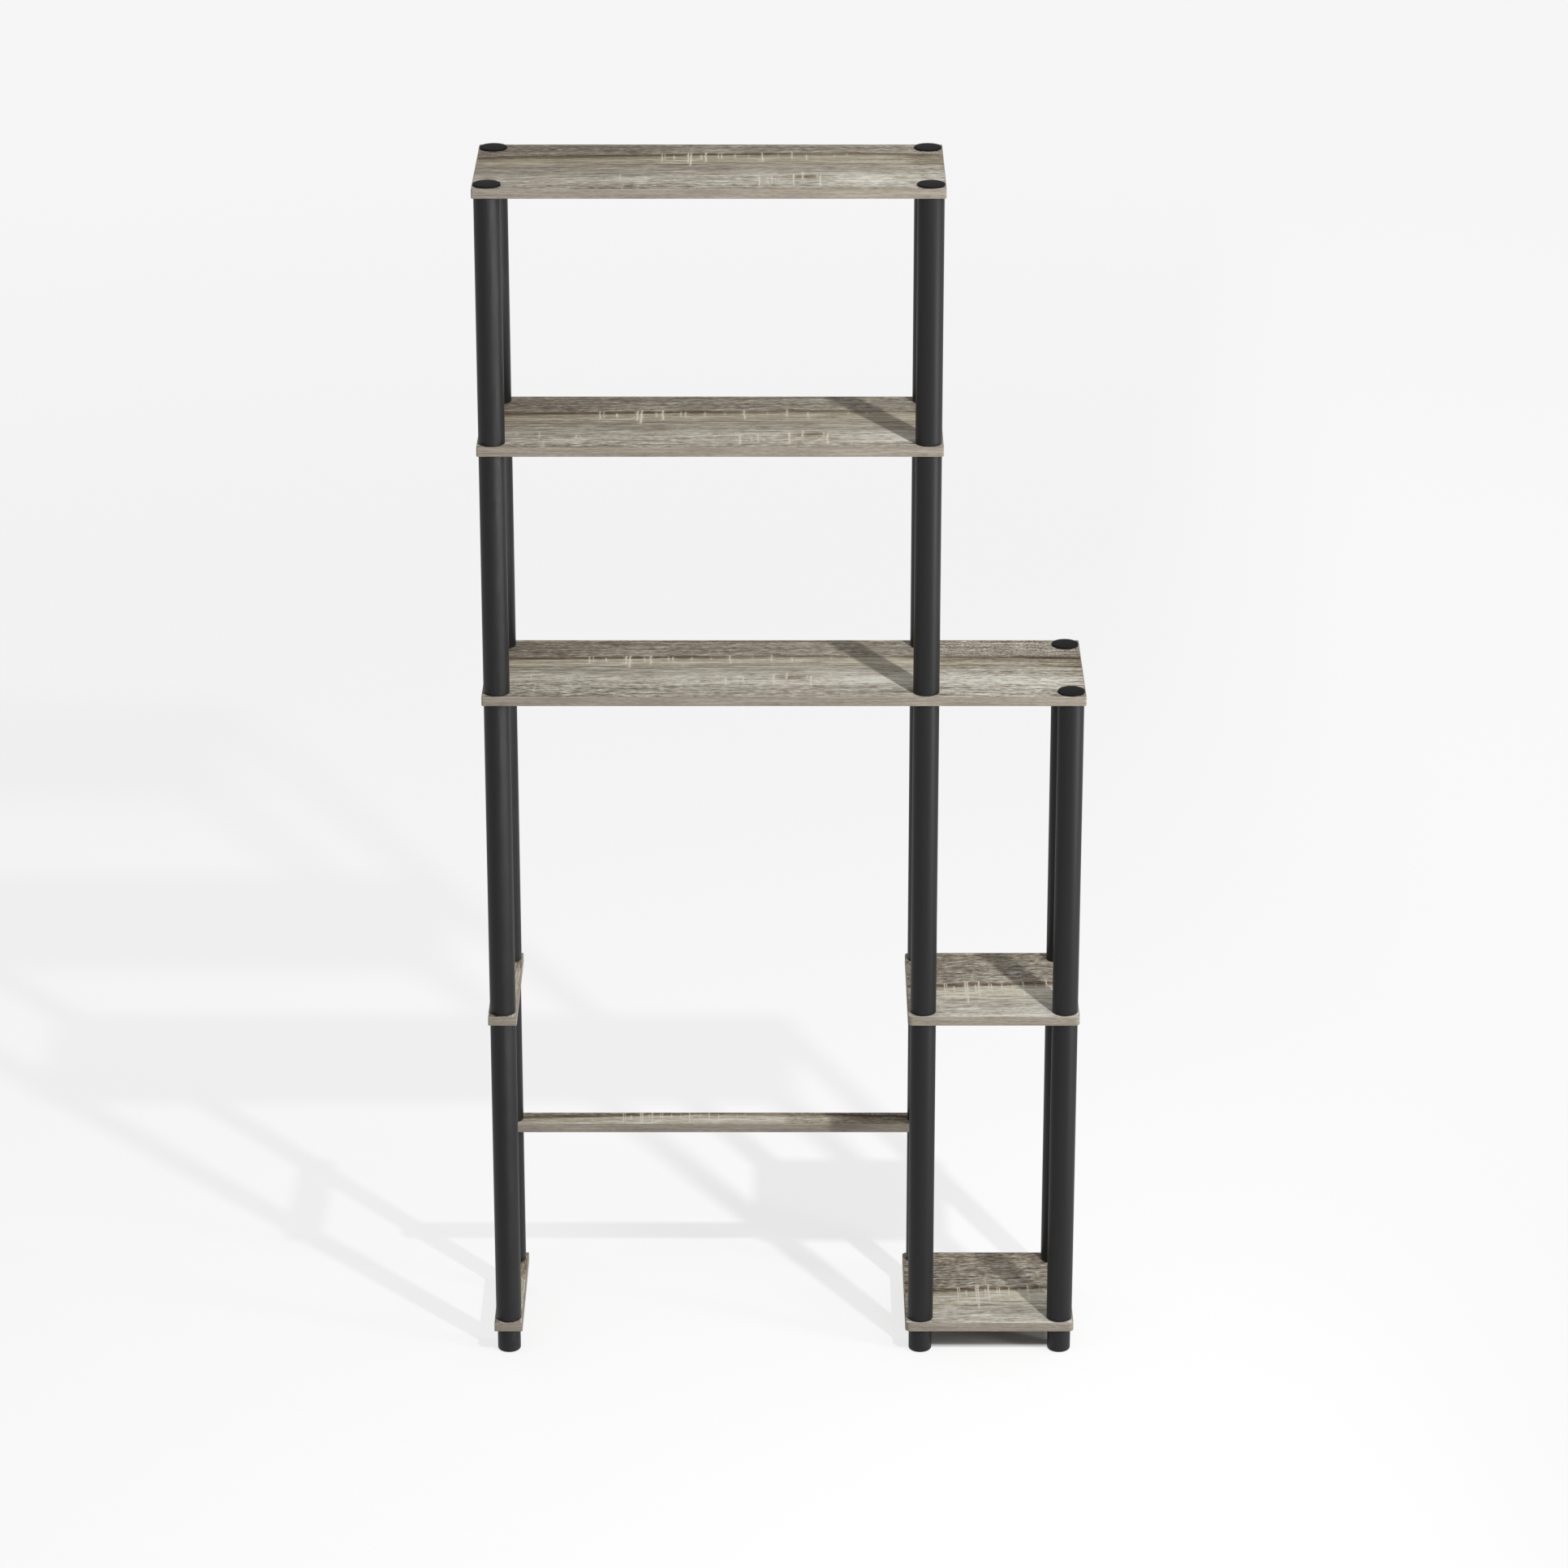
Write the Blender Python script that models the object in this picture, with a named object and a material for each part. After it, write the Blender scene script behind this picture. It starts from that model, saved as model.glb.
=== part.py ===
"""Over-the-toilet shelf: printed boards carried on posts of tubes that screw together.

Each post is a stack of tubes. A tube has a socket in its upper end, and a plug with a stud in its
lower end. The stud goes down through a hole in a board and screws into the tube below, so the board
is clamped between two tubes. Feet screw in from below and caps from above. The front is -Y, the
right-hand side is +X, and the floor is at Z = 0. Sizes are in metres.
"""

import math

import bmesh
import bpy

# Boards
OVERALL_WIDTH = 0.793  # the wide shelf, end to end
UPPER_SHELF_WIDTH = 0.6025  # the two shelves above it, and the stretcher
DEPTH = 0.220
BOARD_THICKNESS = 0.0127
STRIP_WIDTH = 0.0384  # the narrow boards: the left braces and the stretcher
SIDE_SHELF_INSET = 0.0207  # inner edge of the side shelves to the middle posts
SHELF_CORNER = 0.0025
SIDE_SHELF_CORNER = 0.0065
STRIP_CORNER = 0.0010
BOARD_ARRIS = 0.0006

# Heights between boards
FOOT_HEIGHT = 0.0345
LOWER_BAY = 0.4445
UPPER_BAY = 0.3302
BAY_UNDER_STRETCHER = 0.2032

# Posts
POST_INSET = 0.0192  # edge of a board to the centre of a post
TUBE_DIAMETER = 0.0346
SLIM_TUBE_DIAMETER = 0.0315  # the short tubes above and below the stretcher
TUBE_WALL = 0.0018

# Screwed joints, plain where the threads are
STUD_DIAMETER = 0.0160
STUD_REACH = 0.0200  # length of stud inside a socket
STUD_TIP = 0.0012  # lead-in at the end of a stud
SOCKET_RELIEF = 0.0030  # depth of a socket past the end of its stud
PLUG_LENGTH = 0.0180

# Caps and feet
CAP_DIAMETER = 0.0358
CAP_THICKNESS = 0.0022
CAP_RIM = 0.0009
FOOT_DIAMETER = 0.0315
FOOT_EDGE = 0.0030

# Clearances
SEAT_GAP = 0.0003  # between faces that are clamped together
STUD_CLEARANCE = 0.0003  # all round a stud, in sockets and board holes
PLUG_CLEARANCE = 0.0003  # all round a plug, in its tube

# Facets round an axis or a corner
TUBE_SIDES = 32
BORE_SIDES = 16
STUD_SIDES = 12
CORNER_STEPS = 4
FOOT_EDGE_STEPS = 2
SMOOTH_ANGLE = math.radians(40)
ARRIS_ANGLE = math.radians(60)  # edges sharper than this are broken

# Where the posts stand
OUTER_X = OVERALL_WIDTH / 2 - POST_INSET
MIDDLE_X = UPPER_SHELF_WIDTH - OVERALL_WIDTH / 2 - POST_INSET
POST_Y = DEPTH / 2 - POST_INSET
POSTS = {
    "front_left": (-OUTER_X, -POST_Y),
    "rear_left": (-OUTER_X, POST_Y),
    "front_middle": (MIDDLE_X, -POST_Y),
    "rear_middle": (MIDDLE_X, POST_Y),
    "front_right": (OUTER_X, -POST_Y),
    "rear_right": (OUTER_X, POST_Y),
}
LEFT_POSTS = ("front_left", "rear_left")
RIGHT_POSTS = ("front_right", "rear_right")
SIDE_POSTS = ("front_middle", "rear_middle", *RIGHT_POSTS)
TALL_POSTS = (*LEFT_POSTS, "front_middle", "rear_middle")
STRETCHER_POSTS = ("rear_left", "rear_middle")
LONG_LEG_POSTS = ("front_left", "front_middle", *RIGHT_POSTS)

# Undersides of the boards
BOTTOM_Z = FOOT_HEIGHT
STRETCHER_Z = BOTTOM_Z + BOARD_THICKNESS + BAY_UNDER_STRETCHER
BRACE_Z = BOTTOM_Z + BOARD_THICKNESS + LOWER_BAY
WIDE_Z = BRACE_Z + BOARD_THICKNESS + LOWER_BAY
UPPER_Z = WIDE_Z + BOARD_THICKNESS + UPPER_BAY
TOP_Z = UPPER_Z + BOARD_THICKNESS + UPPER_BAY

# Sizes that follow from those above
STUD_RADIUS = STUD_DIAMETER / 2
STUD_HOLE_RADIUS = STUD_RADIUS + STUD_CLEARANCE
STUD_LENGTH = 2 * SEAT_GAP + BOARD_THICKNESS + STUD_REACH
SOCKET_DEPTH = STUD_REACH + SOCKET_RELIEF

# Finishes: linear colour and roughness
OAK_PRINT = (0.31, 0.28, 0.22)
BLACK = (0.022, 0.022, 0.023)
DARK_GREY = (0.045, 0.045, 0.047)
FINISHES = {
    "shelf_print": (OAK_PRINT, 0.55),
    "strip_print": (OAK_PRINT, 0.55),
    "tube_black": (BLACK, 0.38),
    "stud_plastic": (DARK_GREY, 0.50),
    "cap_black": (BLACK, 0.42),
    "foot_black": (BLACK, 0.45),
}


def clear_scene():
    """Remove whatever the file holds."""
    for old in list(bpy.data.objects):
        bpy.data.objects.remove(old, do_unlink=True)


def material(name):
    """A plain Principled material in one of the finishes."""
    colour, roughness = FINISHES[name]
    made = bpy.data.materials.new(name)
    made.use_nodes = True
    shader = made.node_tree.nodes["Principled BSDF"]
    shader.inputs["Base Color"].default_value = (*colour, 1.0)
    shader.inputs["Roughness"].default_value = roughness
    shader.inputs["Metallic"].default_value = 0.0
    return made


def mesh_from(bm, name, finish=None):
    """Turn a closed bmesh into a mesh whose faces point out."""
    bmesh.ops.recalc_face_normals(bm, faces=bm.faces)
    if bm.calc_volume(signed=True) < 0:
        bmesh.ops.reverse_faces(bm, faces=bm.faces)
    mesh = bpy.data.meshes.new(name)
    bm.to_mesh(mesh)
    bm.free()
    if finish:
        mesh.materials.append(finish)
    return mesh


def place(name, mesh, location, parent):
    """Put a named piece into the scene under the assembly's empty."""
    piece = bpy.data.objects.new(name, mesh)
    piece.location = location
    piece.parent = parent
    bpy.context.collection.objects.link(piece)
    return piece


def ring(bm, radius, height, sides, centre=(0, 0)):
    """Corners of a level polygon round a point."""
    turn = 2 * math.pi / sides
    corners = []
    for i in range(sides):
        x = centre[0] + radius * math.cos(i * turn)
        y = centre[1] + radius * math.sin(i * turn)
        corners.append(bm.verts.new((x, y, height)))
    return corners


def stitch(bm, one, other):
    """Join two rings with faces, even where one ring has more corners than the other."""
    i = j = 0
    while i < len(one) or j < len(other):
        start, far = one[i % len(one)], other[j % len(other)]
        lead = (i + 1) * len(other) - (j + 1) * len(one)
        corners = [start]
        if lead <= 0:
            i += 1
            corners.append(one[i % len(one)])
        if lead >= 0:
            j += 1
            corners.append(other[j % len(other)])
        bm.faces.new(corners + [far])


def turned_mesh(name, profile, finish, hollow=False):
    """Turn a profile of (radius, height, sides) round the Z axis.

    A hollow profile runs round the wall and back to its start. A solid one is filled at both ends.
    """
    bm = bmesh.new()
    rings = [ring(bm, *step) for step in profile]
    for here, there in zip(rings, rings[1:]):
        stitch(bm, here, there)
    if hollow:
        stitch(bm, rings[-1], rings[0])
    else:
        bm.faces.new(rings[0])
        bm.faces.new(rings[-1])
    mesh = mesh_from(bm, name, finish)
    mesh.shade_smooth()
    mesh.set_sharp_from_angle(angle=SMOOTH_ANGLE)
    return mesh


def socket_steps(mouth, inner):
    """Profile of a socket from its mouth to the tube's bore."""
    return [(STUD_HOLE_RADIUS, mouth, STUD_SIDES), (STUD_HOLE_RADIUS, inner, STUD_SIDES)]


def tube_mesh(name, diameter, length, finish, lower_socket=False):
    """A tube from Z = 0 up, with a socket above and a plug's bore or a second socket below."""
    bore = diameter / 2 - TUBE_WALL
    upper_floor = length - SOCKET_DEPTH
    outside = [(diameter / 2, 0, TUBE_SIDES), (diameter / 2, length, TUBE_SIDES)]
    upper_end = socket_steps(length, upper_floor)
    if lower_socket:
        hollow = [(bore, upper_floor, BORE_SIDES), (bore, SOCKET_DEPTH, BORE_SIDES)]
        lower_end = socket_steps(SOCKET_DEPTH, 0)
    else:
        hollow = [(bore, upper_floor, BORE_SIDES), (bore, 0, BORE_SIDES)]
        lower_end = []
    return turned_mesh(name, outside + upper_end + hollow + lower_end, finish, hollow=True)


def stud_steps(root, direction):
    """Profile of a stud from its root to its tip, upwards or downwards."""
    tip = root + direction * STUD_LENGTH
    return [
        (STUD_RADIUS, root, STUD_SIDES),
        (STUD_RADIUS, tip - direction * STUD_TIP, STUD_SIDES),
        (STUD_RADIUS - STUD_TIP, tip, STUD_SIDES),
    ]


def plug_mesh(name, diameter, finish):
    """A tube's lower plug, from Z = 0 up, with its stud hanging below."""
    radius = diameter / 2 - TUBE_WALL - PLUG_CLEARANCE
    plug = [(radius, PLUG_LENGTH, BORE_SIDES), (radius, 0, BORE_SIDES)]
    return turned_mesh(name, plug + stud_steps(0, -1), finish)


def cap_mesh(name, finish):
    """A flat cap with a chamfered rim, from Z = 0 up, and its stud below."""
    radius = CAP_DIAMETER / 2
    head = [
        (radius - CAP_RIM, CAP_THICKNESS, TUBE_SIDES),
        (radius, CAP_THICKNESS - CAP_RIM, TUBE_SIDES),
        (radius, 0, TUBE_SIDES),
    ]
    return turned_mesh(name, head + stud_steps(0, -1), finish)


def foot_mesh(name, finish):
    """A foot with a rounded lower edge, from Z = 0 up, and its stud above."""
    radius = FOOT_DIAMETER / 2
    top = FOOT_HEIGHT - SEAT_GAP
    edge = []
    for step in range(FOOT_EDGE_STEPS + 1):
        angle = step / FOOT_EDGE_STEPS * math.pi / 2
        out = FOOT_EDGE * math.sin(angle)
        up = FOOT_EDGE * (1 - math.cos(angle))
        edge.append((radius - FOOT_EDGE + out, up, TUBE_SIDES))
    return turned_mesh(name, edge + [(radius, top, TUBE_SIDES)] + stud_steps(top, 1), finish)


def rounded_outline(low, high, radius):
    """Corners of a rectangle in plan, each turned into an arc."""
    centres = (
        (high[0] - radius, high[1] - radius),
        (low[0] + radius, high[1] - radius),
        (low[0] + radius, low[1] + radius),
        (high[0] - radius, low[1] + radius),
    )
    points = []
    for quarter, (x, y) in enumerate(centres):
        for step in range(CORNER_STEPS + 1):
            angle = (quarter + step / CORNER_STEPS) * math.pi / 2
            points.append((x + radius * math.cos(angle), y + radius * math.sin(angle)))
    return points


def hole_cutter(name, posts, parent):
    """Prisms that cut the stud holes of one board."""
    bm = bmesh.new()
    for post in posts:
        shape = (STUD_SIDES, POSTS[post])
        below = ring(bm, STUD_HOLE_RADIUS, -BOARD_THICKNESS, *shape)
        above = ring(bm, STUD_HOLE_RADIUS, 2 * BOARD_THICKNESS, *shape)
        stitch(bm, below, above)
        bm.faces.new(below)
        bm.faces.new(above)
    cutter = place(name, mesh_from(bm, name), (0, 0, 0), parent)
    cutter.hide_render = True
    cutter.display_type = "WIRE"
    return cutter


def board(name, low, high, underside, corner, posts, finish, parent):
    """A board with rounded corners, a broken arris all round, and a stud hole at each post."""
    bm = bmesh.new()
    outline = [bm.verts.new((x, y, 0)) for x, y in rounded_outline(low, high, corner)]
    plate = bm.faces.new(outline)
    grown = bmesh.ops.extrude_face_region(bm, geom=[plate], use_keep_orig=True)
    raised = [part for part in grown["geom"] if isinstance(part, bmesh.types.BMVert)]
    bmesh.ops.translate(bm, verts=raised, vec=(0, 0, BOARD_THICKNESS))
    piece = place(name, mesh_from(bm, name, finish), (0, 0, underside), parent)
    arris = piece.modifiers.new("arris", "BEVEL")
    arris.width = BOARD_ARRIS
    arris.segments = 1
    arris.limit_method = "ANGLE"
    arris.angle_limit = ARRIS_ANGLE
    holes = piece.modifiers.new("stud holes", "BOOLEAN")
    holes.operation = "DIFFERENCE"
    holes.object = hole_cutter(name + "_holes", posts, piece)
    return piece


def add_boards(parent):
    """The shelves, the left braces and the rear stretcher."""
    shelf = material("shelf_print")
    strip = material("strip_print")
    left, right = -OVERALL_WIDTH / 2, OVERALL_WIDTH / 2
    front, back = -DEPTH / 2, DEPTH / 2
    upper_right = left + UPPER_SHELF_WIDTH
    side_left = MIDDLE_X - SIDE_SHELF_INSET
    strip_right = left + STRIP_WIDTH
    stretcher_front = back - STRIP_WIDTH
    for name, underside in (("top_shelf", TOP_Z), ("upper_shelf", UPPER_Z)):
        ends = (left, front), (upper_right, back)
        board(name, *ends, underside, SHELF_CORNER, TALL_POSTS, shelf, parent)
    ends = (left, front), (right, back)
    board("wide_shelf", *ends, WIDE_Z, SHELF_CORNER, POSTS, shelf, parent)
    for name, underside in (("side_shelf", BRACE_Z), ("side_bottom_shelf", BOTTOM_Z)):
        ends = (side_left, front), (right, back)
        board(name, *ends, underside, SIDE_SHELF_CORNER, SIDE_POSTS, shelf, parent)
    for name, underside in (("left_brace", BRACE_Z), ("left_bottom_brace", BOTTOM_Z)):
        ends = (left, front), (strip_right, back)
        board(name, *ends, underside, STRIP_CORNER, LEFT_POSTS, strip, parent)
    ends = (left, stretcher_front), (upper_right, back)
    board("rear_stretcher", *ends, STRETCHER_Z, STRIP_CORNER, STRETCHER_POSTS, strip, parent)


def add_tubes(row, posts, boards, diameter, finishes, parent, on_feet=False):
    """One row of tubes between two boards, each with its plug unless it stands on a foot."""
    seat = boards[0] + BOARD_THICKNESS + SEAT_GAP
    length = boards[1] - SEAT_GAP - seat
    tube = tube_mesh(row + "_tube", diameter, length, finishes[0], on_feet)
    plug = None if on_feet else plug_mesh(row + "_stud", diameter, finishes[1])
    for post in posts:
        where = (*POSTS[post], seat)
        place(f"{row}_tube_{post}", tube, where, parent)
        if plug:
            place(f"{row}_stud_{post}", plug, where, parent)


def add_posts(parent):
    """Every tube and plug, row by row from the top."""
    rest = (material("tube_black"), material("stud_plastic")), parent
    full, slim = TUBE_DIAMETER, SLIM_TUBE_DIAMETER
    add_tubes("top", TALL_POSTS, (UPPER_Z, TOP_Z), full, *rest)
    add_tubes("upper", TALL_POSTS, (WIDE_Z, UPPER_Z), full, *rest)
    add_tubes("waist", POSTS, (BRACE_Z, WIDE_Z), full, *rest)
    add_tubes("leg", LONG_LEG_POSTS, (BOTTOM_Z, BRACE_Z), full, *rest, on_feet=True)
    add_tubes("leg_upper", STRETCHER_POSTS, (STRETCHER_Z, BRACE_Z), slim, *rest)
    add_tubes("leg_lower", STRETCHER_POSTS, (BOTTOM_Z, STRETCHER_Z), slim, *rest, on_feet=True)


def add_caps_and_feet(parent):
    """A cap on each post's top and a foot under each post."""
    cap = cap_mesh("cap", material("cap_black"))
    for underside, posts in ((TOP_Z, TALL_POSTS), (WIDE_Z, RIGHT_POSTS)):
        seat = underside + BOARD_THICKNESS + SEAT_GAP
        for post in posts:
            place(f"cap_{post}", cap, (*POSTS[post], seat), parent)
    foot = foot_mesh("foot", material("foot_black"))
    for post, centre in POSTS.items():
        place(f"foot_{post}", foot, (*centre, 0), parent)


def main():
    """Build the assembly under one empty at its base."""
    clear_scene()
    assembly = bpy.data.objects.new("over_toilet_shelf", None)
    bpy.context.collection.objects.link(assembly)
    add_boards(assembly)
    add_posts(assembly)
    add_caps_and_feet(assembly)


main()
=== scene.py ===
"""Looks of the over-the-toilet shelf: printed boards on black tubes, on a pale studio floor.

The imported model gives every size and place. Fine boards, tubes, caps and feet replace its plain ones,
and the hidden studs stay. Sizes are in metres, except on the printed sheet, which is in millimetres.
"""

import math

import bmesh
import bpy
from mathutils import Euler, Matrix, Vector


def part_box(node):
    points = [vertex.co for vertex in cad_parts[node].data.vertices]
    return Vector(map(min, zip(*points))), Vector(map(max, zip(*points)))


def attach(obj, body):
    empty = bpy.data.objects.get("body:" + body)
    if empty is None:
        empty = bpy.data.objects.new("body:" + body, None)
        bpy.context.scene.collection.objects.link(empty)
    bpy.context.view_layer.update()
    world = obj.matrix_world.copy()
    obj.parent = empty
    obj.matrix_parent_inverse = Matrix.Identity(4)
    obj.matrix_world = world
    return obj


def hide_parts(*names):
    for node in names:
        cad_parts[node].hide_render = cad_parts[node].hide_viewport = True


MILLIMETRES = 1000.0  # in a metre

# Camera: no shift, looking down at the shelf
CAMERA_PLACE = (0.0, -7.0, 3.530)
CAMERA_PITCH = math.radians(21.33)
CAMERA_LENS = 128.9
SENSOR_WIDTH = 36.0

# Light
KEY_PLACE = (1.26, -2.0, 3.12)
KEY_AIM = (0.0, 0.0, 0.9)
KEY_SIZE = (0.12,)
KEY_POWER = 70.0
SIDE_PLACE = (2.8, -1.3, 0.6)
SIDE_AIM = (0.0, 0.0, 0.6)
SIDE_SIZE = (0.5, 1.2)
SIDE_POWER = 52.0
STRIP_POST = "leg_tube_front_left"  # a strip lamp with a grid puts a highlight on this post alone
STRIP_PLACE = (1.26, -1.98, 0.85)
STRIP_SIZE = (0.2, 1.7)
STRIP_SPREAD = math.radians(6.0)
STRIP_POWER = 0.60
SKY_LEVEL = 0.47

# Floor and background
FLOOR_REACH = 60.0
FLOOR_BOUNCE = 0.75  # the floor's grey for the light that it throws back
NEAR_WHITE = 0.955
FAR_WHITE = 0.920
WHITE_FADES = (1.5, 7.0)  # from near to far white, between these distances from the shelf: painted falloff of light, brighter near the shelf
SHADOW_SHARE = 0.24  # how far the floor's white follows the light that falls on it
LOW_SHADOWS = (0.0, 0.40)  # where the shadows of the low boards fall, which are deeper
LOW_REACH = (0.40, 0.12)  # they deepen between these distances from there
LOW_DEPTH = 0.5  # by this much of the share
LIT_GAIN = 1.2  # keeps the lit floor white away from the key lamp
LAMP_SIDE = (0.35, 1.2)  # towards the side lamp it stops following it, between these x
LOW_BOARDS = ("side_bottom_shelf", "left_bottom_brace")  # under these the floor shows all of its shade, and painted shade besides
COVERED_FROM = (0.016, 0.039)  # it deepens between these distances in from the board's edge
COVERED_PAINTED_SHADE = 0.67  # how much darker the floor is painted there: painted shade under the low boards
BACKGROUND_RAYS = ("Is Camera Ray", "Is Glossy Ray", "Is Transmission Ray")

FROM_SIDE, FROM_BELOW = 0, 3  # where a quarter circle starts, in quarter turns

# Boards
SHELF_CORNER = 0.0025
SIDE_SHELF_CORNER = 0.0065
STRIP_CORNER = 0.0010
LEAST_CORNER = 0.0002  # the innermost rings of a board's edge keep at least this radius
CORNER_STEPS = 10
ARRIS = 0.0007
ARRIS_STEPS = 3
ARRIS_SUPPORT = 0.0005  # flat margin inside the arris, which keeps the board's face flat
STUD_HOLE_RADIUS = 0.0083
HOLE_SIDES = 32
PRINTED, BANDED = 0, 1  # a board's two materials
STRIPS_ALONG_Y = ("left_brace", "left_bottom_brace")

# Turned pieces
SIDES = 96
TUBE_EDGE = 0.0006
TUBE_WALL = 0.0018
SOCKET_DEPTH = 0.0230
TWO_SOCKETS = ("leg_tube", "leg_lower")  # tubes with a socket at both ends begin with these words
STUD_RADIUS = 0.0080
STUD_TIP = 0.0012
SEAT_GAP = 0.0003  # between a cap or foot and the board that it is clamped to
CAP_RIM = 0.0010
FOOT_EDGE = 0.0030
EDGE_STEPS = 5
FOOT_STEPS = 7
SHARP_ANGLE = math.radians(38)

# Plastics: grey level, roughness, how much the drawn streaks show, and specular level
PLASTICS = {
    "tube_black": (0.0095, 0.50, 1.0, 0.26),
    "cap_black": (0.0112, 0.60, 0.0, 0.03),
    "foot_black": (0.0100, 0.50, 0.4, 0.26),
    "stud_plastic": (0.0300, 0.50, 0.0, 0.26),
}
PLASTIC_TINT = (1.0, 1.0, 1.03)
# Their streaks, grain and clouds: marks in a metre along x, y and z, detail and roughness of the noise
PLASTIC_MARKS = (
    ((420.0, 420.0, 5.0), 3.0, 0.6),
    ((1600.0, 1600.0, 1600.0), 2.0, 0.6),
    ((9.0, 9.0, 6.0), 2.0, 0.5),
)
PLASTIC_SHADE = (0.22, 0.10, 0.10)  # how much streaks, grain and clouds change the level
PLASTIC_GLOSS = (0.04, 0.04, 0.03)  # and the roughness
PLASTIC_RELIEF = (1.0, 0.6)  # how high streaks and grain stand, as shares of the depth
PLASTIC_DEPTH = 0.000012

# The printed sheet: where its first saw tick and its dark line lie on a board, in millimetres from
# the board's left end and back edge, how far it is stretched along and across the grain, how much
# lighter or darker the board is painted for the light that falls on it (painted light and shade),
# and how strong its fine marks are
FIRST_TICK = 134.0
PRINTS = {
    "top_shelf": (237.0, 49.0, 0.69, 1.40, -0.05, 1.0),
    "upper_shelf": (152.0, 68.0, 1.01, 1.25, -0.04, 1.0),
    "wide_shelf": (134.0, 66.0, 1.00, 1.00, 0.0, 1.0),
    "side_shelf": (50.0, 108.0, 0.57, 1.55, 0.08, 1.4),
    "side_bottom_shelf": (73.0, 112.0, 0.52, 1.50, 0.06, 1.4),
    "rear_stretcher": (172.0, 4.0, 0.49, 1.10, 0.05, 1.2),
    "left_brace": (-120.0, 12.0, 0.60, 1.00, 0.0, 1.2),
    "left_bottom_brace": (-150.0, 20.0, 0.60, 1.00, 0.0, 1.2),
}
BOARD_NUMBERS = ("lift", "crisp")  # the last two, kept on the board for its material
UNDERSIDE_SHIFT = 900.0  # the underside takes another part of the sheet, in millimetres along the grain

# Tones of the print, as display levels from 0 to 1, and their colours
PRINT_COLOURS = (
    (0.24, "453E36"),
    (0.38, "6B6256"),
    (0.49, "857D72"),
    (0.60, "A19A8D"),
    (0.73, "C1BDB2"),
    (0.84, "DBD8CF"),
)
TAN_COLOURS = (
    (0.24, "493D2F"),
    (0.38, "6E614F"),
    (0.49, "897D6A"),
    (0.60, "A69C87"),
    (0.73, "C5BFAE"),
    (0.84, "DDD9CB"),
)
# Tone across the grain, in millimetres in front of the dark line
ZONES = (
    (-110, 0.50),
    (-60, 0.47),
    (-30, 0.49),
    (-4, 0.48),
    (4, 0.50),
    (11, 0.59),
    (20, 0.615),
    (31, 0.60),
    (40, 0.570),
    (58, 0.590),
    (74, 0.670),
    (100, 0.665),
    (122, 0.585),
    (150, 0.57),
    (190, 0.60),
)
# Streaks along the grain: length and width in millimetres, and strength
STREAKS = ((240, 18, 0.15), (110, 6.5, 0.21), (45, 3.2, 0.25), (30, 1.4, 0.18))
STREAK_NOISE = (3.0, 0.6)  # detail and roughness
# Noise of the other marks: length and width in millimetres, detail, roughness and seed
MARKS = {
    "drift": (260, 110, 2.0, 0.55, 0.0),
    "wave": (90, 20, 2.0, 0.55, 0.0),
    "fleck": (9, 2.1, 3.0, 0.65, 4.0),
    "speckle": (3.6, 3.0, 2.0, 0.6, 5.0),
    "pore": (20, 1.7, 2.0, 0.55, 6.0),
    "fibre": (16, 1.6, 2.0, 0.55, 7.0),
    "dash": (22, 3.0, 2.0, 0.55, 8.0),
    "wander": (70, 1e6, 2.0, 0.55, 9.0),
    "in line": (30, 1.8, 2.0, 0.55, 10.0),
    "fine line": (420, 3.0, 3.0, 0.65, 11.0),
    "pale": (60, 5.0, 2.0, 0.55, 12.0),
    "warm": (110, 8, 2.0, 0.55, 13.0),
    "back": (170, 5.0, 3.0, 0.6, 14.0),
    "past": (90, 5.0, 3.0, 0.55, 15.0),
    "short": (15, 4.2, 2.0, 0.6, 16.0),
    "fore": (55, 6.0, 3.0, 0.6, 17.0),
    "tick bend": (14, 200, 1.0, 0.55, 1.0),
    "tick haze": (16, 2.2, 2.0, 0.55, 1.2),
    "tick break": (7, 3, 2.0, 0.55, 1.5),
    "edge streak": (90, 2.0, 3.0, 0.6, 0.0),
    "edge grain": (12, 1.5, 2.0, 0.6, 1.0),
    "edge cloud": (160, 30, 1.0, 0.55, 2.0),
}

# Places on the sheet, in millimetres: along the grain, or across it in front of the dark line. A pair
# is where a change begins and where it is complete. Three numbers are a band's two sides and its softness.
LINE_MIDDLE = 430.0  # along the grain, the place from which the line bows forward to both sides
LINE_REACH = 600.0  # this far from there
LINE_BOW = 13.0  # it has bowed by this much
LINE_SHIFT = 2.0  # it lies this far behind its stated place
LINE_DRIFT = 4.5  # and drifts by up to this much
GRAIN_WAVE = 1.8  # the grain waves by up to this much
FRONT = (-6.0, 12.0)  # in front of the line
BEHIND = (3.0, -5.0)  # behind it
BACK = (-42.0, -52.0)  # along the back of the sheet
RIGHT_END = (585.0, 615.0)
CORNER_ALONG = (120.0, 130.0)  # the middle and reach of the front left corner's marks
CORNER_ACROSS = (92.0, 114.0)

# Broad tones: a board's painted light and shade behind the line and what is added in front, and a slope
# along the grain, partly print and partly painted light
PAINTED_LIGHT_BEHIND, PAINTED_LIGHT_FRONT = 0.4, 0.8
RIGHT_PRINT_AND_PAINTED_LIGHT, RIGHT_PRINT_AND_PAINTED_LIGHT_TONE = (-100.0, 700.0), 0.06
LEFT_SHADE, LEFT_SHADE_TONE = (300.0, 60.0), -0.03

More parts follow.
